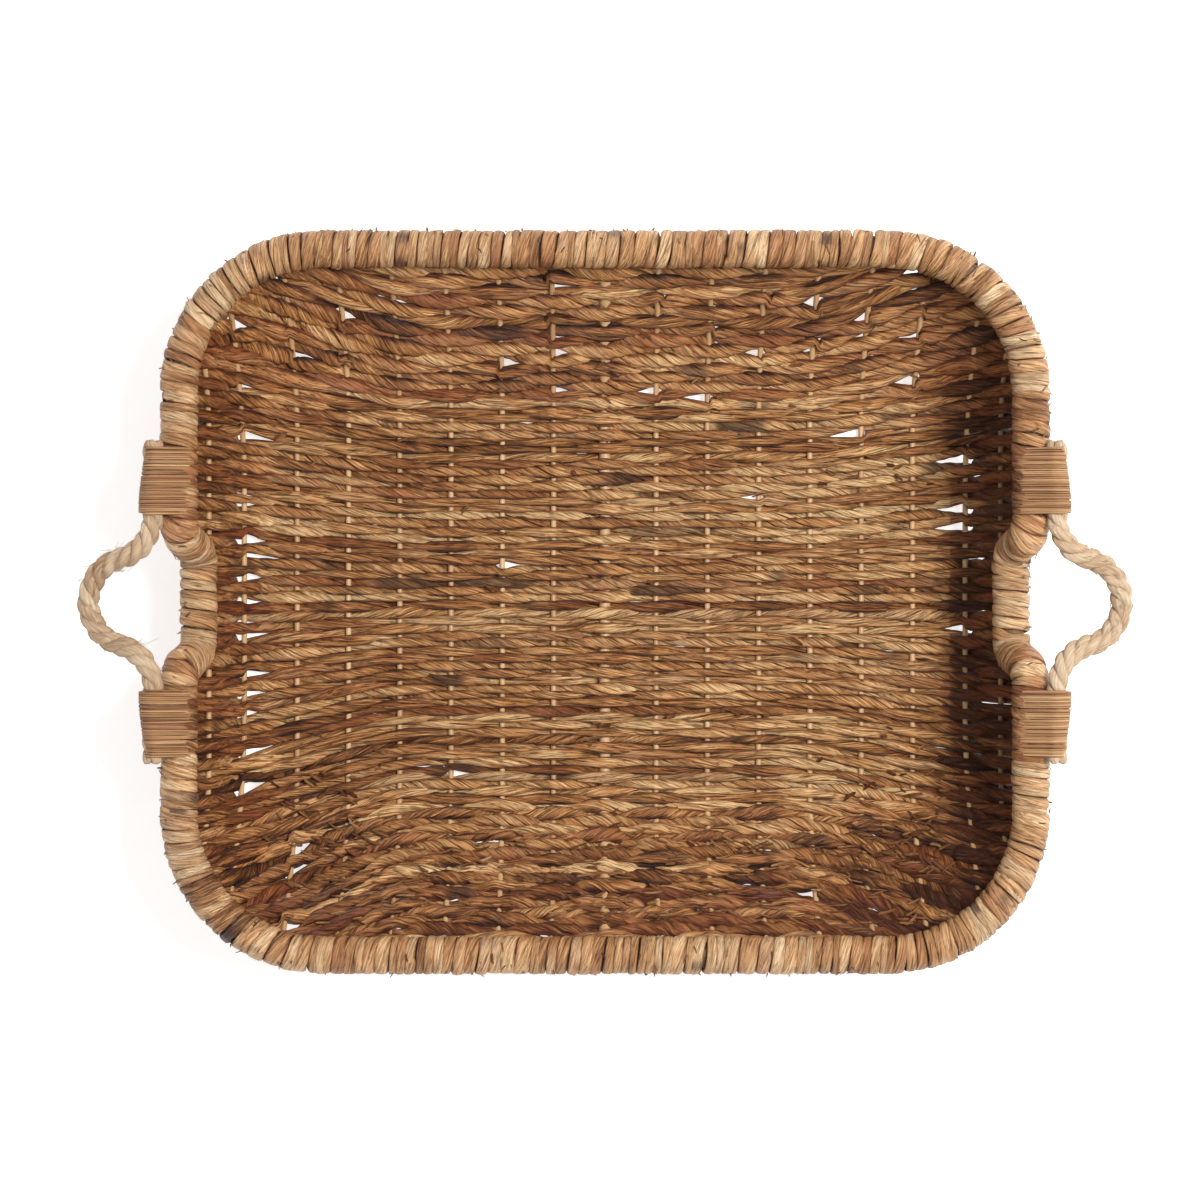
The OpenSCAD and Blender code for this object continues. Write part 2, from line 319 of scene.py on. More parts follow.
def drift(rng, place, spacing):
    # Smooth random values along each strand, from -1 to 1, that change over the spacing
    knots = rng.uniform(-1, 1, (len(place), int(place.max() / spacing) + 3))
    step = place / spacing
    low = step.astype(int)
    rows = np.arange(len(place))[:, None]
    return mix(knots[rows, low], knots[rows, low + 1], smooth(step - low))


def tubeTemplate(rings, sides):
    # A tube along Z, with the ring and side that each of its vertices belongs to
    bm = bmesh.new()
    bmesh.ops.create_cone(bm, cap_ends=True, segments=sides, radius1=1, radius2=1, depth=1)
    lengthwise = [e for e in bm.edges if abs(e.verts[0].co.z - e.verts[1].co.z) > 0.5]
    bmesh.ops.subdivide_edges(bm, edges=lengthwise, cuts=rings - 2, use_grid_fill=True)
    mesh = bpy.data.meshes.new("template")
    bm.to_mesh(mesh)
    bm.free()
    place = np.array([v.co for v in mesh.vertices])
    ring = np.rint((place[:, 2] + 0.5) * (rings - 1)).astype(int)
    turn = np.arctan2(place[:, 1], place[:, 0])
    side = np.rint((turn - turn[0]) / (2 * math.pi) * sides).astype(int) % sides
    return mesh, ring, side


def strands(
    centre, lift, width, thick, shade, twist=0.0, phase=0.0, sides=12, lobes=0, lobeDepth=0.0, taper=2.5,
    edge=0.0, edgeFrom=0.5, square=0.0,
):
    # Sweeps an oval section along each centre line. lift is the way the section's top faces, edge
    # is how much darker its two sides are, from edgeFrom outwards, which is painted shade between
    # neighbouring strands, and square fills its corners.
    count, rings = centre.shape[:2]
    tangent = unit(np.gradient(centre, axis=1))
    across = unit(np.cross(lift, tangent))
    lift = np.cross(tangent, across)
    length = along(centre)
    ends = np.minimum(length, length[:, -1:] - length)
    closing = np.sqrt(smooth(0.12 + 0.88 * ends / taper))
    turned = np.broadcast_to(2 * math.pi * np.arange(sides) / sides, (count, rings, sides))
    angle = turned + (twist * length + phase)[:, :, None]
    relief = (1 + lobeDepth * np.cos(lobes * turned)) * (1 + square * np.sin(2 * angle) ** 2)
    wide = (width * closing / 2)[:, :, None] * relief
    high = (thick * closing / 2)[:, :, None] * relief
    points = (
        centre[:, :, None]
        + across[:, :, None] * (wide * np.cos(angle))[..., None]
        + lift[:, :, None] * (high * np.sin(angle))[..., None]
    )
    run = length / 100 + 7.3 * np.arange(count)[:, None]
    runs = np.broadcast_to(run[:, :, None], turned.shape)
    fibre = np.stack([np.cos(turned), np.sin(turned), runs], axis=-1)
    shades = np.array(np.broadcast_to(shade[:, :, None], (*turned.shape, 3)))
    # Painted shade: each strand's two sides, where it meets its neighbours, are darkened
    shades[..., 0] -= edge * smooth((np.abs(np.cos(angle)) - edgeFrom) / (1 - edgeFrom))
    return {"points": points, "fibre": fibre, "shade": shades}


def makePiece(name, batches, material, body, replaced=()):
    # One mesh of many swept strands, which stands for the CAD nodes named in replaced
    bm = bmesh.new()
    found = {"points": [], "fibre": [], "shade": []}
    for batch in batches:
        count, rings, sides = batch["points"].shape[:3]
        template, ring, side = tubeTemplate(rings, sides)
        for n in range(count):
            bm.from_mesh(template)
        for key in found:
            found[key].append(batch[key][:, ring, side].reshape(-1, 3))
        bpy.data.meshes.remove(template)
    mesh = bpy.data.meshes.new(name)
    bm.to_mesh(mesh)
    bm.free()
    mesh.vertices.foreach_set("co", (np.concatenate(found["points"]) / 1000).ravel())
    for key in ("fibre", "shade"):
        layer = mesh.attributes.new(key, "FLOAT_VECTOR", "POINT")
        layer.data.foreach_set("vector", np.concatenate(found[key]).ravel())
    mesh.update()
    mesh.shade_smooth()
    mesh.materials.append(material)
    piece = bpy.data.objects.new(name, mesh)
    bpy.context.scene.collection.objects.link(piece)
    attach(piece, body)
    if replaced:
        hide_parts(*replaced)
    print(name, len(mesh.polygons), "faces")
    return piece


def shadeOf(tone, red, stain):
    return np.stack(np.broadcast_arrays(tone, red, stain), axis=-1)


sheet = {"floorCorner": 50, "wallPower": 1.6}


def outside(x, y, t):
    # How far a point in plan lies outside the sheet's outline at rise t
    corner = mix(sheet["floorCorner"], rimCorner, t)
    px = np.abs(x) - mix(floorX, rimX, t) + corner
    py = np.abs(y) - mix(floorY, rimY, t) + corner
    return np.hypot(np.maximum(px, 0), np.maximum(py, 0)) + np.minimum(np.maximum(px, py), 0) - corner


def riseOver(x, y):
    low = np.zeros(np.broadcast(x, y).shape)
    high = low + 1.2
    for step in range(26):
        half = (low + high) / 2
        out = outside(x, y, half) > 0
        low = np.where(out, half, low)
        high = np.where(out, high, half)
    return np.where(outside(x, y, 0) <= 0, 0, low)


def sheetZ(x, y):
    return midZ + (rimZ - midZ) * riseOver(x, y) ** sheet["wallPower"]


def sheetNormal(x, y, step=0.3):
    slopeX = (sheetZ(x + step, y) - sheetZ(x - step, y)) / (2 * step)
    slopeY = (sheetZ(x, y + step) - sheetZ(x, y - step)) / (2 * step)
    return unit(np.stack([-slopeX, -slopeY, np.ones_like(slopeX)], axis=-1))


dip = {"bend": 11, "angle": math.radians(72)}


def rimRoute():
    # Round the rim from the back's left end, clockwise seen from above, every half millimetre
    rise = ((rimZ - dipDrop - midZ) / (rimZ - midZ)) ** (1 / sheet["wallPower"])
    lean = math.atan((rimX - mix(floorX, rimX, rise)) / dipDrop)
    depth = dipDrop / math.cos(lean)
    bend = dip["bend"]
    turn = np.linspace(0, dip["angle"], 30)
    sunk = bend * (1 - np.cos(turn))
    slope = (depth - 2 * sunk[-1]) / math.sin(dip["angle"])
    reach = 2 * bend * math.sin(dip["angle"]) + slope * math.cos(dip["angle"])
    p = np.concatenate([bend * np.sin(turn), reach - bend * np.sin(turn[::-1])])
    q = np.concatenate([sunk, depth - sunk[::-1]])
    half = np.stack([rimX - q * math.sin(lean), dipStart - p, rimZ - q * math.cos(lean)], axis=-1)
    dipping = np.concatenate([half, half[::-1] * (1, -1, 1)])
    corner = np.linspace(math.pi / 2, 0, 60)
    arcX = straightX + rimCorner * np.cos(corner)
    arcY = straightY + rimCorner * np.sin(corner)
    arc = np.stack([arcX, arcY, np.full(len(corner), rimZ)], axis=-1)
    right = np.concatenate([arc, dipping, arc[::-1] * (1, -1, 1)])
    left = right[::-1] * (-1, 1, 1)
    route = np.concatenate([[(-straightX, rimY, rimZ)], right, left])
    length = along(route[None])[0]
    keep = np.concatenate([[True], np.diff(length) > 1e-6])
    route = route[keep]
    length = length[keep]
    even = np.arange(0, length[-1], 0.5)
    place = np.stack([np.interp(even, length, route[:, n]) for n in range(3)], axis=-1)
    plan = place[:, :2] - np.clip(place[:, :2], (-straightX, -straightY), (straightX, straightY))
    out = unit(np.concatenate([plan, np.zeros((len(plan), 1))], axis=1))
    return even, place, out


rimLength, rimPlace, rimOut = rimRoute()
rimTree = KDTree(len(rimPlace))
for index, point in enumerate(rimPlace):
    rimTree.insert(point, index)
rimTree.balance()
print("rim route", round(rimLength[-1]), "long")


weave = {
    "seed": 11,
    "backPitch": 4.5,  # distance between rows in plan, on each wall and on the floor
    "floorPitch": 3.92,
    "frontPitch": 3.9,
    "strand": 1.3,  # half a strand's thickness over a stake
    "fill": 1.17,  # a strand's width between stakes, in pitches
    "swell": 0.24,  # how much wider a strand is over a stake than between two
    "widest": 11.5,
    "twist": 2 * math.pi / 44,
    "lays": [1, 1, 1, 1, 0.3, -0.7],  # which way rows are twisted, and how much
    "edge": 6.9,  # where a row ends, from the rim's centre line
    "fan": {(-1, -1): 21, (1, -1): 9, (-1, 1): 9, (1, 1): 5},  # how far rows spread at each corner
    "bendFrom": 90,
    "rings": 224,
    # edge paints shade on each strand's two sides, between the rows
    "section": {"sides": 16, "lobes": 4, "lobeDepth": 0.09, "edge": 0.5},
}
stakeBoxes = [nodeBox("centre_rib")] + [nodeBox(f"stake_right_{n}") for n in range(1, 9)]
stakeX = np.array([(low[0] + high[0]) / 2 for low, high in stakeBoxes])
stakeRadius = (stakeBoxes[1][1][0] - stakeBoxes[1][0][0]) / 2
ribRadius = (stakeBoxes[0][1][0] - stakeBoxes[0][0][0]) / 2


def rowPlaces(rng):
    back = np.arange(floorY + weave["backPitch"] / 2, rimY - 4.2, weave["backPitch"])
    front = np.arange(floorY + weave["frontPitch"] / 2, rimY - 4.2, weave["frontPitch"])
    floorCount = round(2 * floorY / weave["floorPitch"])
    gap = 2 * floorY / floorCount
    flat = -floorY + gap * (np.arange(floorCount) + 0.5)
    places = np.concatenate([-front[::-1], flat, back])
    return places + rng.uniform(-0.35, 0.35, len(places))


def rowPlan(middle, x):
    # Where each row runs in plan: straight over the floor, and spreading towards the rim's corners
    past = np.clip((np.abs(middle) - floorY) / (rimY - floorY), 0, 1) * math.pi / 2
    endX = straightX + rimCorner * np.cos(past)
    endY = np.where(
        past > 0, straightY + rimCorner * np.sin(past), np.abs(middle) * straightY / floorY
    )
    fan = np.zeros(np.broadcast(middle, x).shape)
    for (sideX, sideY), spread in weave["fan"].items():
        here = (np.sign(x) == sideX) & (np.sign(middle) == sideY)
        fan = np.where(here, spread * np.sin(math.pi * np.abs(middle) / rimY), fan)
    blend = smooth((np.abs(x) - weave["bendFrom"]) / (endX - weave["bendFrom"]))
    return np.sign(middle) * (np.abs(middle) + (endY + fan - np.abs(middle)) * blend)


def stakeNumber(x):
    edges = np.append(stakeX, [rimX])
    return np.interp(np.abs(x), edges, np.append(np.arange(len(stakeX)), len(stakeX) - 0.4)) * np.sign(x)


gaps = {  # how often two rows part at a stake
    "wall": 0.015,
    "floor": 0.012,
    "backWall": 0.15,
    "leftEnd": 0.4,
    "rightEnd": 0.1,
    "leftCorner": 0.25,
}


def openings(rng, places, x):
    # Gaps between neighbouring rows: wide at a stake and closing within a centimetre or two
    shift = np.zeros((len(places), len(x)))
    slim = np.zeros((len(places), len(x)))
    for row in range(2, len(places) - 3):
        onWall = abs(places[row]) > floorY
        for number in range(-7, 8):
            chance = gaps["wall"] if onWall else gaps["floor"]
            if onWall and places[row] > 0:
                chance = gaps["backWall"]
            if abs(number) == 7 and not onWall:
                chance = gaps["leftEnd"] if number < 0 else gaps["rightEnd"]
            if number == -6 and onWall:
                chance = gaps["leftCorner"]
            draw = rng.uniform(0, 1, 4)
            if draw[0] > chance or number == 0:
                continue
            stake = stakeX[abs(number)] * math.copysign(1, number)
            inward = -1 if number > 0 else 1
            reach = 9 + 10 * draw[1]
            size = (1.3 + 1.5 * draw[2]) * (1.25 if abs(number) >= 6 else 1)
            far = (x - stake) * inward
            shape = np.where(far > -1, np.clip(1 - far / reach, 0, 1), smooth(1 + (far + 1) / 2))
            shift[row] -= size * shape
            shift[row + 1] += size * shape
            slim[row] = np.maximum(slim[row], shape)
            slim[row + 1] = np.maximum(slim[row + 1], shape)
    return np.clip(shift, -3, 3), slim


def rowEnds(route):
    # The first and last sample of a row that are clear of the rim
    middle = len(route) // 2
    found = []
    for step in (-1, 1):
        here = middle
        while 0 < here < len(route) - 1:
            gap = rimTree.find(route[here + step])[2]
            if gap < weave["edge"]:
                break
            here += step
        found.append(here)
    return found


def weaveRows():
    rng = np.random.default_rng(weave["seed"])
    places = rowPlaces(rng)
    x = np.linspace(-rimX + 0.5, rimX - 0.5, 1601)
    shift, slim = openings(rng, places, x)
    run = np.broadcast_to(x + rimX, (len(places), len(x)))
    wander = 0.5 * drift(rng, run, 38) + 0.28 * drift(rng, run, 13)
    y = rowPlan(places[:, None], x[None, :]) + shift + wander
    route = np.stack([np.broadcast_to(x, y.shape), y, sheetZ(x[None, :], y)], axis=-1)
    spread = np.gradient(np.stack([np.broadcast_to(x, y.shape), y - shift, route[..., 2]], axis=-1), axis=0)
    heading = unit(np.gradient(route, axis=1))
    spread -= heading * np.sum(spread * heading, axis=-1, keepdims=True)
    pitch = np.linalg.norm(spread, axis=-1)
    rows = {"x": [], "y": [], "pitch": [], "slim": []}
    for row in range(len(places)):
        first, last = rowEnds(route[row])
        piece = route[row, first : last + 1]
        length = along(piece[None])[0]
        even = np.linspace(0, length[-1], weave["rings"])
        rows["x"].append(np.interp(even, length, piece[:, 0]))
        rows["y"].append(np.interp(even, length, piece[:, 1]))
        rows["pitch"].append(np.interp(even, length, pitch[row, first : last + 1]))
        rows["slim"].append(np.interp(even, length, slim[row, first : last + 1]))
    return places, {key: np.array(value) for key, value in rows.items()}, rng


def weaveBatch():
    places, rows, rng = weaveRows()
    x = rows["x"]
    y = rows["y"]
    normal = sheetNormal(x, y)
    middle = np.stack([x, y, sheetZ(x, y)], axis=-1)
    length = along(middle)
    count = len(places)
    swing = np.cos(math.pi * (stakeNumber(x) + np.arange(count)[:, None]))
    rib = (ribRadius - stakeRadius) * np.exp(-((x / 9) ** 2)) * (swing > 0)
    raised = (stakeRadius + weave["strand"] + rib) * np.sign(swing) * np.abs(swing) ** 0.85
    steep = 1 - normal[..., 2]
    tight = smooth(np.abs(normal[..., 1]) / 0.5)
    raised = raised * (1 - 0.5 * tight)
    centre = middle + normal * (raised + 0.18 * drift(rng, length, 14))[..., None]
    over = np.abs(swing) ** 0.8
    gnarled = smooth((-places[:, None] - floorY + 6) / 22)
    centre = centre + normal * (0.9 * gnarled * drift(rng, length, 5))[..., None]
    width = rows["pitch"] * (weave["fill"] + weave["swell"] * over + 0.1 * tight + 0.12 * gnarled)
    width = width * (1 - 0.3 * rows["slim"])
    width = width * (1 + 0.18 * np.exp(-((x / 11) ** 2)))
    uneven = 0.13 * drift(rng, length, 21) + 0.2 * gnarled * drift(rng, length, 6)
    width = np.minimum(width, weave["widest"]) * (1 + uneven)
    thick = 2 * weave["strand"] * (1.5 - 0.3 * over) * (1 + 0.25 * tight)
    thick = thick * (1 + 0.14 * drift(rng, length, 15))
    centre[..., 2] = np.maximum(centre[..., 2], thick * 0.56)  # nothing goes under the table's top
    # The twist is even seen from above, so it is longer where a strand climbs
    twist = weave["twist"] * rng.uniform(0.25, 1.4, (count, 1))
    twist = twist * rng.choice(weave["lays"], (count, 1)) * (1 + 0.4 * gnarled)
    twist = twist * along(middle * (1, 1, 0)) / np.maximum(length, 1e-6)
    # Lightness changes at random from strand to strand and along a strand. Over the basket it holds
    # painted light and shade: darker on the steep walls, painted light at the left end, a painted shadow
    # over the right end and painted shade in the front corners; the floor is lighter towards the right
    tone = 0.12 * rng.normal(0, 1, (count, 1)) + 0.18 * drift(rng, length, 25)
    tone = tone + 0.12 * drift(rng, length, 90)
    # Painted shade on the steep walls, painted light at the left end and a painted shadow over the right
    # end
    tone = tone + 0.2 - 0.35 * steep + 0.08 * smooth((-x - 140) / 60) - 0.2 * smooth((x - 150) / 50)
    tone = tone + (0.17 * smooth((x + 160) / 320) - 0.02) * smooth(1 - 3 * steep)
    # Painted shade in the two front corners, deeper on the right
    tone = tone - (0.28 + 0.05 * np.sign(x)) * smooth((np.abs(x) - 100) / 60) * smooth((-y - 85) / 50)
    red = smooth(0.13 + 0.3 * drift(rng, length, 75) + 0.22 * rng.normal(0, 1, (count, 1)) + 0.35 * steep)
    patch = drift(rng, length, 46) + 0.35 * drift(rng, length, 15) + 0.25 * rng.normal(0, 1, (count, 1))
    stain = 0.88 * smooth((patch - 0.92 + 0.1 * gnarled) / 0.35)
    shade = shadeOf(tone, red, stain)
    phase = rng.uniform(0, 6.28, (count, 1)) + 0.9 * drift(rng, length, 26) + 1.5 * drift(rng, length, 70)
    return places, lambda chosen: strands(
        centre[chosen], normal[chosen], width[chosen], thick[chosen], shade[chosen],
        twist[chosen], phase[chosen], **weave["section"],
    )


bark = fibreMaterial("barkWeave")
rowY, weaveOf = weaveBatch()
makePiece("weave_front_wall", [weaveOf(rowY < -floorY)], bark, "basket",
          ["front_wall_weave", "corner_weave_front_left", "corner_weave_front_right"])
makePiece("weave_floor_front", [weaveOf((rowY >= -floorY) & (rowY < 0))], bark, "basket",
          ["floor_weave", "left_wall_weave"])
makePiece("weave_floor_back", [weaveOf((rowY >= 0) & (rowY <= floorY))], bark, "basket",
          ["right_wall_weave"])
makePiece("weave_back_wall", [weaveOf(rowY > floorY)], bark, "basket",
          ["back_wall_weave", "corner_weave_back_left", "corner_weave_back_right"])
print(len(rowY), "rows")


def stakeBatch(x, radius, rng):
    # A rod that runs front to back on the sheet's middle surface, up to the rim at both ends
    high = np.linspace(0, rimY, 900)
    z = sheetZ(x, high)
    clear = [n for n in range(len(high)) if rimTree.find((x, high[n], z[n]))[2] < weave["edge"]]
    reach = high[clear[0]] if clear else rimY
    y = np.linspace(-reach, reach, 1201)
    line = np.stack([np.full_like(y, x), y, sheetZ(x, y)], axis=-1)[None]
    length = along(line)[0]
    even = np.linspace(0, length[-1], 120)
    centre = np.stack([np.interp(even, length, line[0, :, n]) for n in range(3)], axis=-1)[None]
    lift = np.cross(unit(np.gradient(centre, axis=1)), np.array([1.0, 0, 0]))
    place = along(centre)
    across = np.full(place.shape, 2 * radius)
    shade = shadeOf(0.08 * rng.normal() + 0.12 * drift(rng, place, 20) - 0.12, 0.15, 0.0 * place)
    return strands(centre, -lift, across, across * (1 + 0.03 * drift(rng, place, 12)), shade, sides=10)


cane = fibreMaterial("paleCane")
stakeRng = np.random.default_rng(5)
for side, sign in (("left", -1), ("right", 1)):
    rods = [stakeBatch(sign * stakeX[n], stakeRadius, stakeRng) for n in range(1, 9)]
    nodes = [f"stake_{side}_{n}" for n in range(1, 9)]
    makePiece(f"stakes_{side}", rods, cane, "basket", nodes)
ribRod = [stakeBatch(0.0, ribRadius, stakeRng)]
makePiece("centre_rib_rod", ribRod, cane, "basket", ["centre_rib"])


winding = {
    "seed": 23,
    "pitch": 5.1,  # along the rim, from one turn to the next
    "thick": 3.2,
    "turnSteps": 26,
    "strandTurns": 8,  # turns before a new strand takes over
    "shared": 0.9,  # turns that a strand runs on over the next
    "overlap": 1.04,
    "twist": 2 * math.pi / 90,
    "section": {
        "sides": 14, "lobes": 4, "lobeDepth": 0.05, "taper": 4,
        # edge and edgeFrom paint shade on each turn's two sides, between neighbouring turns
        "edge": 0.5, "edgeFrom": 0.72, "square": 0.13,
    },
}


def sampled(length, values):
    length = np.mod(length, rimLength[-1])
    return np.stack([np.interp(length, rimLength, values[:, n]) for n in range(3)], axis=-1)


def rimAt(length):
    # The rim's centre, the way out and the way up at a length along it
    place = sampled(length, rimPlace)
    out = sampled(length, rimOut)
    ahead = sampled(length + 0.7, rimPlace)
    heading = unit(ahead - place)
    out = unit(out - heading * np.sum(out * heading, axis=-1, keepdims=True))
    return place, out, np.cross(heading, out)


def windingBatch(start, end, rng):
    start = start - winding["pitch"] * 0.4
    turns = (end - start) / winding["pitch"]
    count = max(1, round(turns / winding["strandTurns"]))
    each = turns / count
    steps = int((each + winding["shared"]) * winding["turnSteps"]) + 1
    edges = np.cumsum(rng.uniform(0.55, 1.45, math.ceil(turns) + 2))
    edges = np.concatenate([[0], edges]) * turns / edges[math.ceil(turns) - 1]
    turn = np.linspace(0, each + winding["shared"], steps)[None, :] + each * np.arange(count)[:, None]
    angle = 2 * math.pi * turn
    travelled = np.interp(turn, np.arange(len(edges)), edges) * winding["pitch"]
    measure = angle * rimRadius - (angle[:, :1] * rimRadius)
    sway = drift(rng, measure, 80) * 0.9 * np.sin(angle) + 0.4 * drift(rng, measure, 17)
    place = start + travelled + sway
    middle, out, up = rimAt(place)
    radial = out * np.cos(angle)[..., None] - up * np.sin(angle)[..., None]
    nearer = rimAt(place - 0.5)
    further = rimAt(place + 0.5)
    surface = [
        m + rimRadius * (o * np.cos(angle)[..., None] - u * np.sin(angle)[..., None])
        for m, o, u in (nearer, further)
    ]
    stretch = np.clip(np.linalg.norm(surface[1] - surface[0], axis=-1), 0.45, 2.2)
    widths = np.interp(turn, np.arange(len(edges) - 1) + 0.5, np.diff(edges)) * winding["pitch"]
    width = widths * winding["overlap"] * stretch * (1 + 0.12 * drift(rng, measure, 25))
    thick = winding["thick"] * (1 + 0.12 * drift(rng, measure, 20))
    radius = rimRadius - winding["thick"] / 2 + 0.4 * drift(rng, measure, 24)
    centre = middle + radial * radius[..., None]
    bound = (np.abs(middle[..., 1]) > bindLow[1] - 1) & (np.abs(middle[..., 1]) < bindHigh[1])
    tone = 0.05 * rng.normal(0, 1, (count, 1)) + 0.3 * drift(rng, measure, 46)
    tone = tone + 0.1 * drift(rng, measure, 13) + 0.12 - 0.28 * bound
    # Painted shade: the underside of the rim is darker. The rim is also lighter at its two short ends.
    tone = tone - 0.1 * (radial[..., 2] < -0.2) + 0.08 * smooth((np.abs(middle[..., 0]) - 190) / 20)
    red = smooth(0.04 + 0.6 * drift(rng, measure, 52) + 0.3 * bound)
    stain = 0.8 * smooth((drift(rng, measure, 40) + 0.25 * drift(rng, measure, 9) - 0.86) / 0.2)
    phase = rng.uniform(0, 6, (count, 1))
    shade = shadeOf(tone, red, stain)
    return strands(centre, radial, width, thick, shade, winding["twist"], phase, **winding["section"])


def rimStretches():
    straight = 2 * straightX
    arc = rimCorner * math.pi / 2
    sideRun = rimLength[-1] / 2 - straight - 2 * arc
    lengths = [
        ("rim_winding_back", straight, ["rim_wrap_back"]),
        ("rim_winding_back_right", arc, ["rim_wrap_back_right"]),
        ("rim_winding_right", sideRun, [f"rim_wrap_right_{part}" for part in ("rear", "dip", "fore")]),
        ("rim_winding_front_right", arc, ["rim_wrap_front_right"]),
        ("rim_winding_front", straight, ["rim_wrap_front"]),
        ("rim_winding_front_left", arc, ["rim_wrap_front_left"]),
        ("rim_winding_left", sideRun, [f"rim_wrap_left_{part}" for part in ("rear", "dip", "fore")]),
        ("rim_winding_back_left", arc, ["rim_wrap_back_left"]),
    ]
    start = 0
    for name, length, nodes in lengths:
        yield name, start, start + length, nodes
        start += length


rimBark = fibreMaterial("rimBark")
rimRng = np.random.default_rng(winding["seed"])
for name, start, end, nodes in rimStretches():
    makePiece(name, [windingBatch(start, end, rimRng)], rimBark, "basket", nodes)
frame["nodes"]["rim_core"].data.materials.clear()
frame["nodes"]["rim_core"].data.materials.append(poleMaterial())


rope = {
    "seed": 77,
    "diameter": 11,
    "reach": 34,  # from the line it swings about to the outermost point of its centre
    "halfLoop": 43,  # half the distance between the two places where it bends outwards
    "droop": math.radians(12),
    "tailPast": 2.5,  # how far its ends pass the bindings
    "yarnTwist": 2 * math.pi / 16,
    "lay": 23,
    "strand": 5.8,
    "strandOffset": 2.8,
    "section": {"sides": 15, "lobes": 5, "lobeDepth": 0.055, "taper": 1.5},
}


def ropeRoute(sign):
    # Four equal arcs between two straight tails, and the normal of the plane they lie in
    hinge = jointPlace("right_handle_swing" if sign > 0 else "left_handle_swing")
    turn = 2 * math.atan(rope["reach"] / rope["halfLoop"])
    radius = rope["halfLoop"] / (2 * math.sin(turn))
    bend = np.linspace(0, turn, 20)
    leaving = radius * (1 - np.cos(bend))
    outward = np.concatenate([leaving, rope["reach"] - leaving[::-1][1:]])
    sideways = np.concatenate([rope["halfLoop"] - radius * np.sin(bend), radius * np.sin(bend[::-1][1:])])
    outward = np.concatenate([[0, 0], outward, outward[-2::-1], [0, 0]])
    tail = bindHigh[1] + rope["tailPast"]
    sideways = np.concatenate([[tail, (tail + rope["halfLoop"]) / 2], sideways])
    sideways = np.concatenate([sideways, -sideways[-2::-1]])
    flat = np.stack(
        [sign * outward * math.cos(rope["droop"]), sideways, -outward * math.sin(rope["droop"])], axis=-1
    )
    normal = np.array([sign * math.sin(rope["droop"]), 0, math.cos(rope["droop"])])
    return flat + hinge, normal


def ropeBatch(sign, rng):
    route, normal = ropeRoute(sign)
    length = along(route[None])[0]
    even = np.linspace(0, length[-1], 210)
    line = np.stack([np.interp(even, length, route[:, n]) for n in range(3)], axis=-1)
    heading = unit(np.gradient(line, axis=0))
    aside = np.cross(normal, heading)
    place = np.broadcast_to(even, (3, len(even)))
    turn = -2 * math.pi * place / rope["lay"] + 2 * math.pi * np.arange(3)[:, None] / 3
    turn = turn + 0.12 * drift(rng, place, 25)
    radial = aside * np.cos(turn)[..., None] + normal * np.sin(turn)[..., None]
    pressed = 1 - 0.07 * smooth((np.abs(line[:, 1]) - 26) / 8)
    centre = line + radial * (rope["strandOffset"] * pressed)[:, None]
    across = rope["strand"] * pressed * (1 + 0.04 * drift(rng, place, 9))
    # Painted light: the right rope, on the lamp's side, is lighter than the left one
    tone = 0.11 + 0.08 * sign + 0.05 * rng.normal(0, 1, (3, 1)) + 0.14 * drift(rng, place, 14)
    shade = shadeOf(tone, smooth(0.1 + 0.2 * drift(rng, place, 20)), 0.0 * place)
    twisted = strands(
        centre, radial, across, across * 0.96, shade, rope["yarnTwist"], **rope["section"]
    )
    return twisted, line, radial, centre


hair = {
    "count": 240,  # on each rope
    "longest": 8,
    "shortest": 3,
    "thick": 0.17,
    "clear": 18,  # bare length beside each binding
}


def hairBatch(rng, centre, radial):
    # Loose fibres that lift off a rope's strands, all bent forwards or back
    count = hair["count"]
    free = np.flatnonzero(np.abs(centre[0, :, 1]) < rope["halfLoop"] - hair["clear"])
    strand = rng.integers(0, len(centre), count)
    at = rng.choice(free, count)
    root = centre[strand, at]
    heading = unit(centre[strand, at + 2] - centre[strand, at - 2])
    away = radial[strand, at]
    around = np.cross(heading, away)
    lean = rng.uniform(-1.1, 1.1, (count, 1))
    out = away * np.cos(lean) + around * np.sin(lean)
    size = rng.uniform(hair["shortest"], hair["longest"], (count, 1, 1))
    t = np.linspace(0, 1, 6)[None, :, None]
    forward = heading * rng.choice([-1, 1], (count, 1)) + around * rng.uniform(-0.7, 0.7, (count, 1))
    lifted = rng.uniform(0.12, 0.42, (count, 1, 1))
    points = (
        root[:, None]
        + out[:, None] * (rope["strand"] / 2 - 0.3 + size * lifted * t)
        + forward[:, None] * size * t**1.3
        + around[:, None] * size * rng.uniform(-0.3, 0.3, (count, 1, 1)) * t**2
    )
    thin = np.full(points.shape[:2], hair["thick"])
    shade = shadeOf(0.2 + 0.15 * rng.normal(0, 1, (count, 1)) + 0 * thin, 0.1, 0.0)
    return strands(points, np.broadcast_to(out[:, None], points.shape), thin, thin, shade, sides=4, taper=2)


ropeFinish = fibreMaterial("rope")
ropeRng = np.random.default_rng(rope["seed"])
for side, sign in (("left", -1), ("right", 1)):
    twisted, line, radial, centre = ropeBatch(sign, ropeRng)
    handle = makePiece(
        f"rope_{side}", [twisted], ropeFinish, f"{side}_handle", [f"rope_handle_{side}"]
    )
    loose = [hairBatch(ropeRng, centre, radial)]
    hairs = makePiece(f"rope_hairs_{side}", loose, ropeFinish, f"{side}_handle")
    points = line[::5] / 1000
    if (len(line) - 1) % 5:
        points = np.concatenate([points, line[-1:] / 1000])


binding = {
    "seed": 3,
    "wall": 1.4,  # over the rim's winding and over the rope
    "pulled": (2.2, 0.3),  # how far it is pulled off the rim's centre line, into the bark
    "drawn": 3.2,  # how far it closes in at the rope's end
    "strand": 1.15,
    "thick": 0.9,
    "steps": 48,
    # edge paints shade on each turn's two sides, between neighbouring turns
    "section": {"sides": 6, "taper": 2, "edge": 0.26},
}


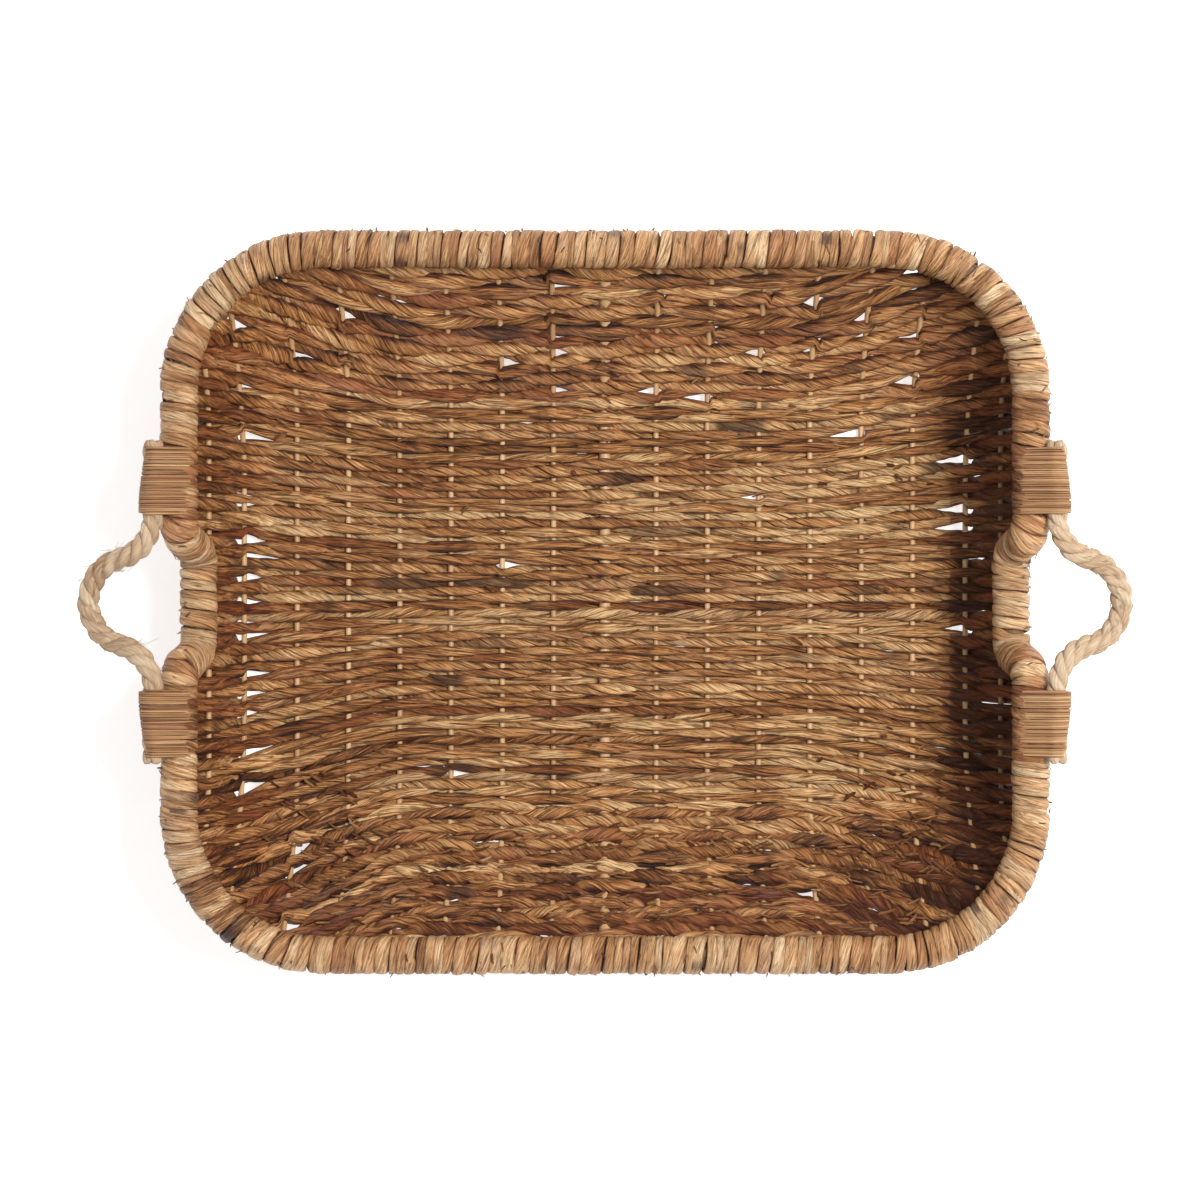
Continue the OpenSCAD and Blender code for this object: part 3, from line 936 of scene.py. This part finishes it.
def bindingOutline(grow, count):
    # Points evenly round the rim's circle and the rope's circle together, from the rim's centre
    hinge = jointPlace("right_handle_swing")
    run = np.array([hinge[0] - rimX, hinge[2] - rimZ]) - binding["pulled"]
    far = np.linalg.norm(run)
    tilt = math.atan2(run[1], run[0])
    wide = rimRadius + binding["wall"] + grow - 0.5
    thin = rope["diameter"] / 2 + binding["wall"] + grow
    facing = np.linspace(0, 2 * math.pi, 721)
    atRope = far * np.cos(facing) + thin > wide
    radius = np.where(atRope, thin, wide)
    pointX = np.where(atRope, far, 0) + radius * np.cos(facing)
    points = np.stack([pointX, radius * np.sin(facing)], axis=-1)
    turned = np.stack(
        [
            points[:, 0] * math.cos(tilt) - points[:, 1] * math.sin(tilt),
            points[:, 0] * math.sin(tilt) + points[:, 1] * math.cos(tilt),
        ],
        axis=-1,
    )
    turned = turned + binding["pulled"]
    length = along(turned[None])[0]
    even = np.linspace(0, length[-1], count + 1)[:-1]
    return np.stack([np.interp(even, length, turned[:, n]) for n in range(2)], axis=-1)


def drawnIn(outline, y):
    # The rope's side of a binding closes in towards the rope's end
    closed = binding["drawn"] * smooth((y - bindLow[1] - 4) / (bindHigh[1] - bindLow[1]))
    return outline[..., 0] - closed * smooth((outline[..., 0] - 4) / 14)


def bindingBatch(signX, signY, rng):
    steps = binding["steps"]
    outline = bindingOutline(-binding["thick"] / 2 + 0.3, steps)
    low = bindLow[1]
    high = bindHigh[1]
    turns = int((high - low) / (binding["strand"] * 0.9))
    turn = np.arange(turns * steps + 1) / steps
    index = np.arange(turns * steps + 1) % steps
    y = low + 0.5 + (high - low - 1) * turn / turns
    measure = (turn * 62)[None]
    y = y + 0.34 * drift(rng, measure, 40)[0]
    centre = np.stack([rimX + drawnIn(outline[index], y), y, rimZ + outline[index, 1]], axis=-1)
    hub = np.array([rimX + 4, 0, rimZ + 4]) * (1, 0, 1) + np.outer(y, (0, 1, 0))
    lift = unit(centre - hub)
    mirror = np.array([signX, signY, 1])
    centre = (centre * mirror)[None]
    lift = (lift * mirror)[None]
    width = binding["strand"] * (1 + 0.3 * drift(rng, measure, 30))
    # Painted light: the bindings on the right, the lamp's side, are lighter than those on the left
    tone = 0.12 + 0.04 * signX + 0.34 * drift(rng, measure, 48) + 0.14 * drift(rng, measure, 20)
    shade = shadeOf(tone, smooth(0.25 + 0.3 * drift(rng, measure, 90)), 0.0 * tone)
    thick = np.full(width.shape, binding["thick"])
    return strands(centre, lift, width, thick, shade, **binding["section"])


def fillerBatch(signX, signY, rng):
    # What the fine cane is wound on: the bark round the rim and rope, packed full
    sides = binding["steps"]
    outline = bindingOutline(-0.75, sides)
    low = bindLow[1] + 0.8
    high = bindHigh[1] - 0.8
    y = np.linspace(low, high, 10)
    outline = np.broadcast_to(outline, (len(y), *outline.shape))
    points = np.stack(
        [
            rimX + drawnIn(outline, y[:, None]),
            np.broadcast_to(y[:, None], (len(y), sides)),
            rimZ + outline[..., 1],
        ],
        axis=-1,
    )[:, ::-1]
    points = points * (signX, signY, 1)
    if signX * signY < 0:
        points = points[:, ::-1]
    turn = 2 * math.pi * np.arange(sides) / sides
    fibre = np.stack(
        [
            np.broadcast_to(np.cos(turn), points.shape[:2]),
            np.broadcast_to(np.sin(turn), points.shape[:2]),
            np.broadcast_to((y / 100)[:, None], points.shape[:2]),
        ],
        axis=-1,
    )
    shade = np.zeros(points.shape) + (-0.2, 0.2, 0.0)
    return {"points": points[None], "fibre": fibre[None], "shade": shade[None]}


splitCane = fibreMaterial("splitCane")
bindRng = np.random.default_rng(binding["seed"])
for side, signX in (("left", -1), ("right", 1)):
    for end, signY in (("rear", 1), ("fore", -1)):
        makePiece(
            f"binding_cane_{side}_{end}",
            [bindingBatch(signX, signY, bindRng), fillerBatch(signX, signY, bindRng)],
            splitCane, "basket", [f"binding_{side}_{end}"],
        )


flake = {
    "seed": 19,
    "thick": 0.45,
    "weaveWide": 2.4,
    "rimWide": 1.3,
    "rim": (420, 5, 0.3, -0.16),  # how many, how long, how far they lift, how light
    # How many, from and to in x, from and to in y, how long, how far they lift, how light
    "frayed": [
        (260, -165, 165, -166, -122, 8, 0.3, 0.05),
        (50, -178, -125, -140, -90, 7, 0.25, 0.0),
        (60, 125, 180, -145, -90, 7, 0.25, -0.1),
        (30, -5, 5, -160, 160, 7, 0.35, -0.05),
    ],
    "scattered": (90, -175, 175, -95, 160, 6, 0.22, 0.0),
    "knots": [(-5, 28), (-3, 11), (-12, -13), (-9, -11), (2, 26), (0, 12)],
    "knotCurl": (10, 0.7, 0.05),
    "section": {"sides": 6, "lobes": 3, "lobeDepth": 0.12, "taper": 1.2},
}


def flakeBatch(rng, root, normal, heading, reach, lifted, tone, widest):
    # Short curled ends that lie along a strand and lift off it
    count = len(root)
    heading = unit(heading - normal * np.sum(heading * normal, axis=-1, keepdims=True))
    across = np.cross(normal, heading)
    t = np.linspace(0, 1, 8)[None, :, None]
    size = reach * rng.uniform(0.6, 1.3, (count, 1, 1))
    centre = (
        root[:, None]
        + heading[:, None] * size * (t - 0.3)
        + normal[:, None] * size * lifted * rng.uniform(0.2, 1.0, (count, 1, 1)) * t**2
        + across[:, None] * size * rng.uniform(-0.35, 0.35, (count, 1, 1)) * t**2
    )
    place = along(centre)
    width = rng.uniform(0.4 * widest, widest, (count, 1)) * (1 - 0.45 * (place / place[:, -1:]) ** 2)
    tone = tone + 0.16 * rng.normal(0, 1, (count, 1)) + 0 * width
    shade = shadeOf(tone, rng.uniform(0, 0.6, (count, 1)), 0.0)
    roll = rng.uniform(-0.6, 0.6, (count, 1, 1)) * t
    lift = normal[:, None] * np.cos(roll) + across[:, None] * np.sin(roll)
    thick = np.full(width.shape, flake["thick"])
    return strands(centre, lift, width, thick, shade, **flake["section"])


def onWeave(rng, x, y, reach, lifted, tone):
    normal = sheetNormal(x, y)
    root = np.stack([x, y, sheetZ(x, y)], axis=-1) + normal * (stakeRadius + 2 * weave["strand"] - 0.4)
    way = rng.uniform(-0.6, 0.6, len(x)) + rng.choice([0, math.pi], len(x))
    heading = np.stack([np.cos(way), np.sin(way), np.zeros(len(x))], axis=-1)
    return flakeBatch(rng, root, normal, heading, reach, lifted, tone, flake["weaveWide"])


def onRim(rng, count, reach, lifted, tone):
    # Mostly on the rim's outer side, along the turns of bark
    middle, out, up = rimAt(rng.uniform(0, rimLength[-1], count))
    angle = rng.normal(0.1, 0.9, (count, 1))
    normal = out * np.cos(angle) + up * np.sin(angle)
    turning = (up * np.cos(angle) - out * np.sin(angle)) * rng.choice([-1, 1], (count, 1))
    heading = turning + np.cross(out, up) * rng.uniform(-0.5, 0.5, (count, 1))
    away = np.abs(middle[:, 1])
    keep = (away < bindLow[1] - 2) | (away > bindHigh[1] + 2) | (np.abs(middle[:, 0]) < straightX)
    root = middle + normal * (rimRadius - 0.3)
    return flakeBatch(
        rng, root[keep], normal[keep], heading[keep], reach, lifted, tone, flake["rimWide"]
    )


def scattered(rng, count, lowX, highX, lowY, highY, reach, lifted, tone):
    x = rng.uniform(lowX, highX, count)
    return onWeave(rng, x, rng.uniform(lowY, highY, count), reach, lifted, tone)


flakeRng = np.random.default_rng(flake["seed"])
flakes = [scattered(flakeRng, *area) for area in flake["frayed"]]
knots = np.array(flake["knots"], dtype=float)
flakes.append(onWeave(flakeRng, knots[:, 0], knots[:, 1], *flake["knotCurl"]))
flakes.append(scattered(flakeRng, *flake["scattered"]))
makePiece("bark_flakes", flakes, bark, "basket")
makePiece("rim_frays", [onRim(flakeRng, *flake["rim"])], rimBark, "basket")


studio = {
    "lens": 90,
    "height": 1500,  # from the rim's centre line to the camera
    "aside": (-2.5, 1),
    "keyPlace": (0.75, 0.25, 1.75),  # metres
    "keyColour": (1.0, 0.975, 0.94),
    "keyPower": 41,
    "keySize": 0.7,
    "sky": 0.55,
    "floorGlow": 0.6,
}


def paleFloor():
    bm = bmesh.new()
    bmesh.ops.create_grid(bm, x_segments=2, y_segments=2, size=6)
    mesh = bpy.data.meshes.new("pale_floor")
    bm.to_mesh(mesh)
    bm.free()
    material = bpy.data.materials.new("paleFloor")
    material.use_nodes = True
    tree = material.node_tree
    tree.nodes.clear()
    start = Value(tree)
    skin = start.node(
        "ShaderNodeBsdfPrincipled",
        {},
        {
            "Base Color": (0.86, 0.855, 0.85, 1),
            "Roughness": 0.9,
            "Specular IOR Level": 0.0,
            "Emission Color": (1.0, 0.99, 0.985, 1),
            "Emission Strength": studio["floorGlow"],
        },
    )
    start.node("ShaderNodeOutputMaterial", {}, {"Surface": skin})
    mesh.materials.append(material)
    floor = bpy.data.objects.new("pale_floor", mesh)
    bpy.context.scene.collection.objects.link(floor)


def keyLight():
    lamp = bpy.data.lights.new("keyLight", "AREA")
    lamp.shape = "DISK"
    lamp.size = studio["keySize"]
    lamp.energy = studio["keyPower"]
    lamp.color = studio["keyColour"]
    made = bpy.data.objects.new("keyLight", lamp)
    made.location = studio["keyPlace"]
    made.rotation_mode = "QUATERNION"
    made.rotation_quaternion = made.location.to_track_quat("Z", "Y")
    bpy.context.scene.collection.objects.link(made)


def studioLight():
    world = bpy.data.worlds.new("paleStudio")
    world.use_nodes = True
    world.node_tree.nodes.clear()
    start = Value(world.node_tree)
    sky = start.node("ShaderNodeBackground", {}, {0: (1.0, 0.99, 0.98, 1), 1: studio["sky"]})
    start.node("ShaderNodeOutputWorld", {}, {0: sky})
    bpy.context.scene.world = world
    keyLight()
    bpy.context.scene.view_settings.view_transform = "Standard"
    bpy.context.scene.view_settings.look = "None"


def overheadCamera():
    lens = bpy.data.cameras.new("overhead")
    lens.lens = studio["lens"]
    lens.sensor_width = 36
    lens.clip_end = 50
    camera = bpy.data.objects.new("overhead", lens)
    camera.location = np.array([*studio["aside"], rimZ + studio["height"]]) / 1000
    bpy.context.scene.collection.objects.link(camera)
    bpy.context.scene.camera = camera


paleFloor()
studioLight()
overheadCamera()
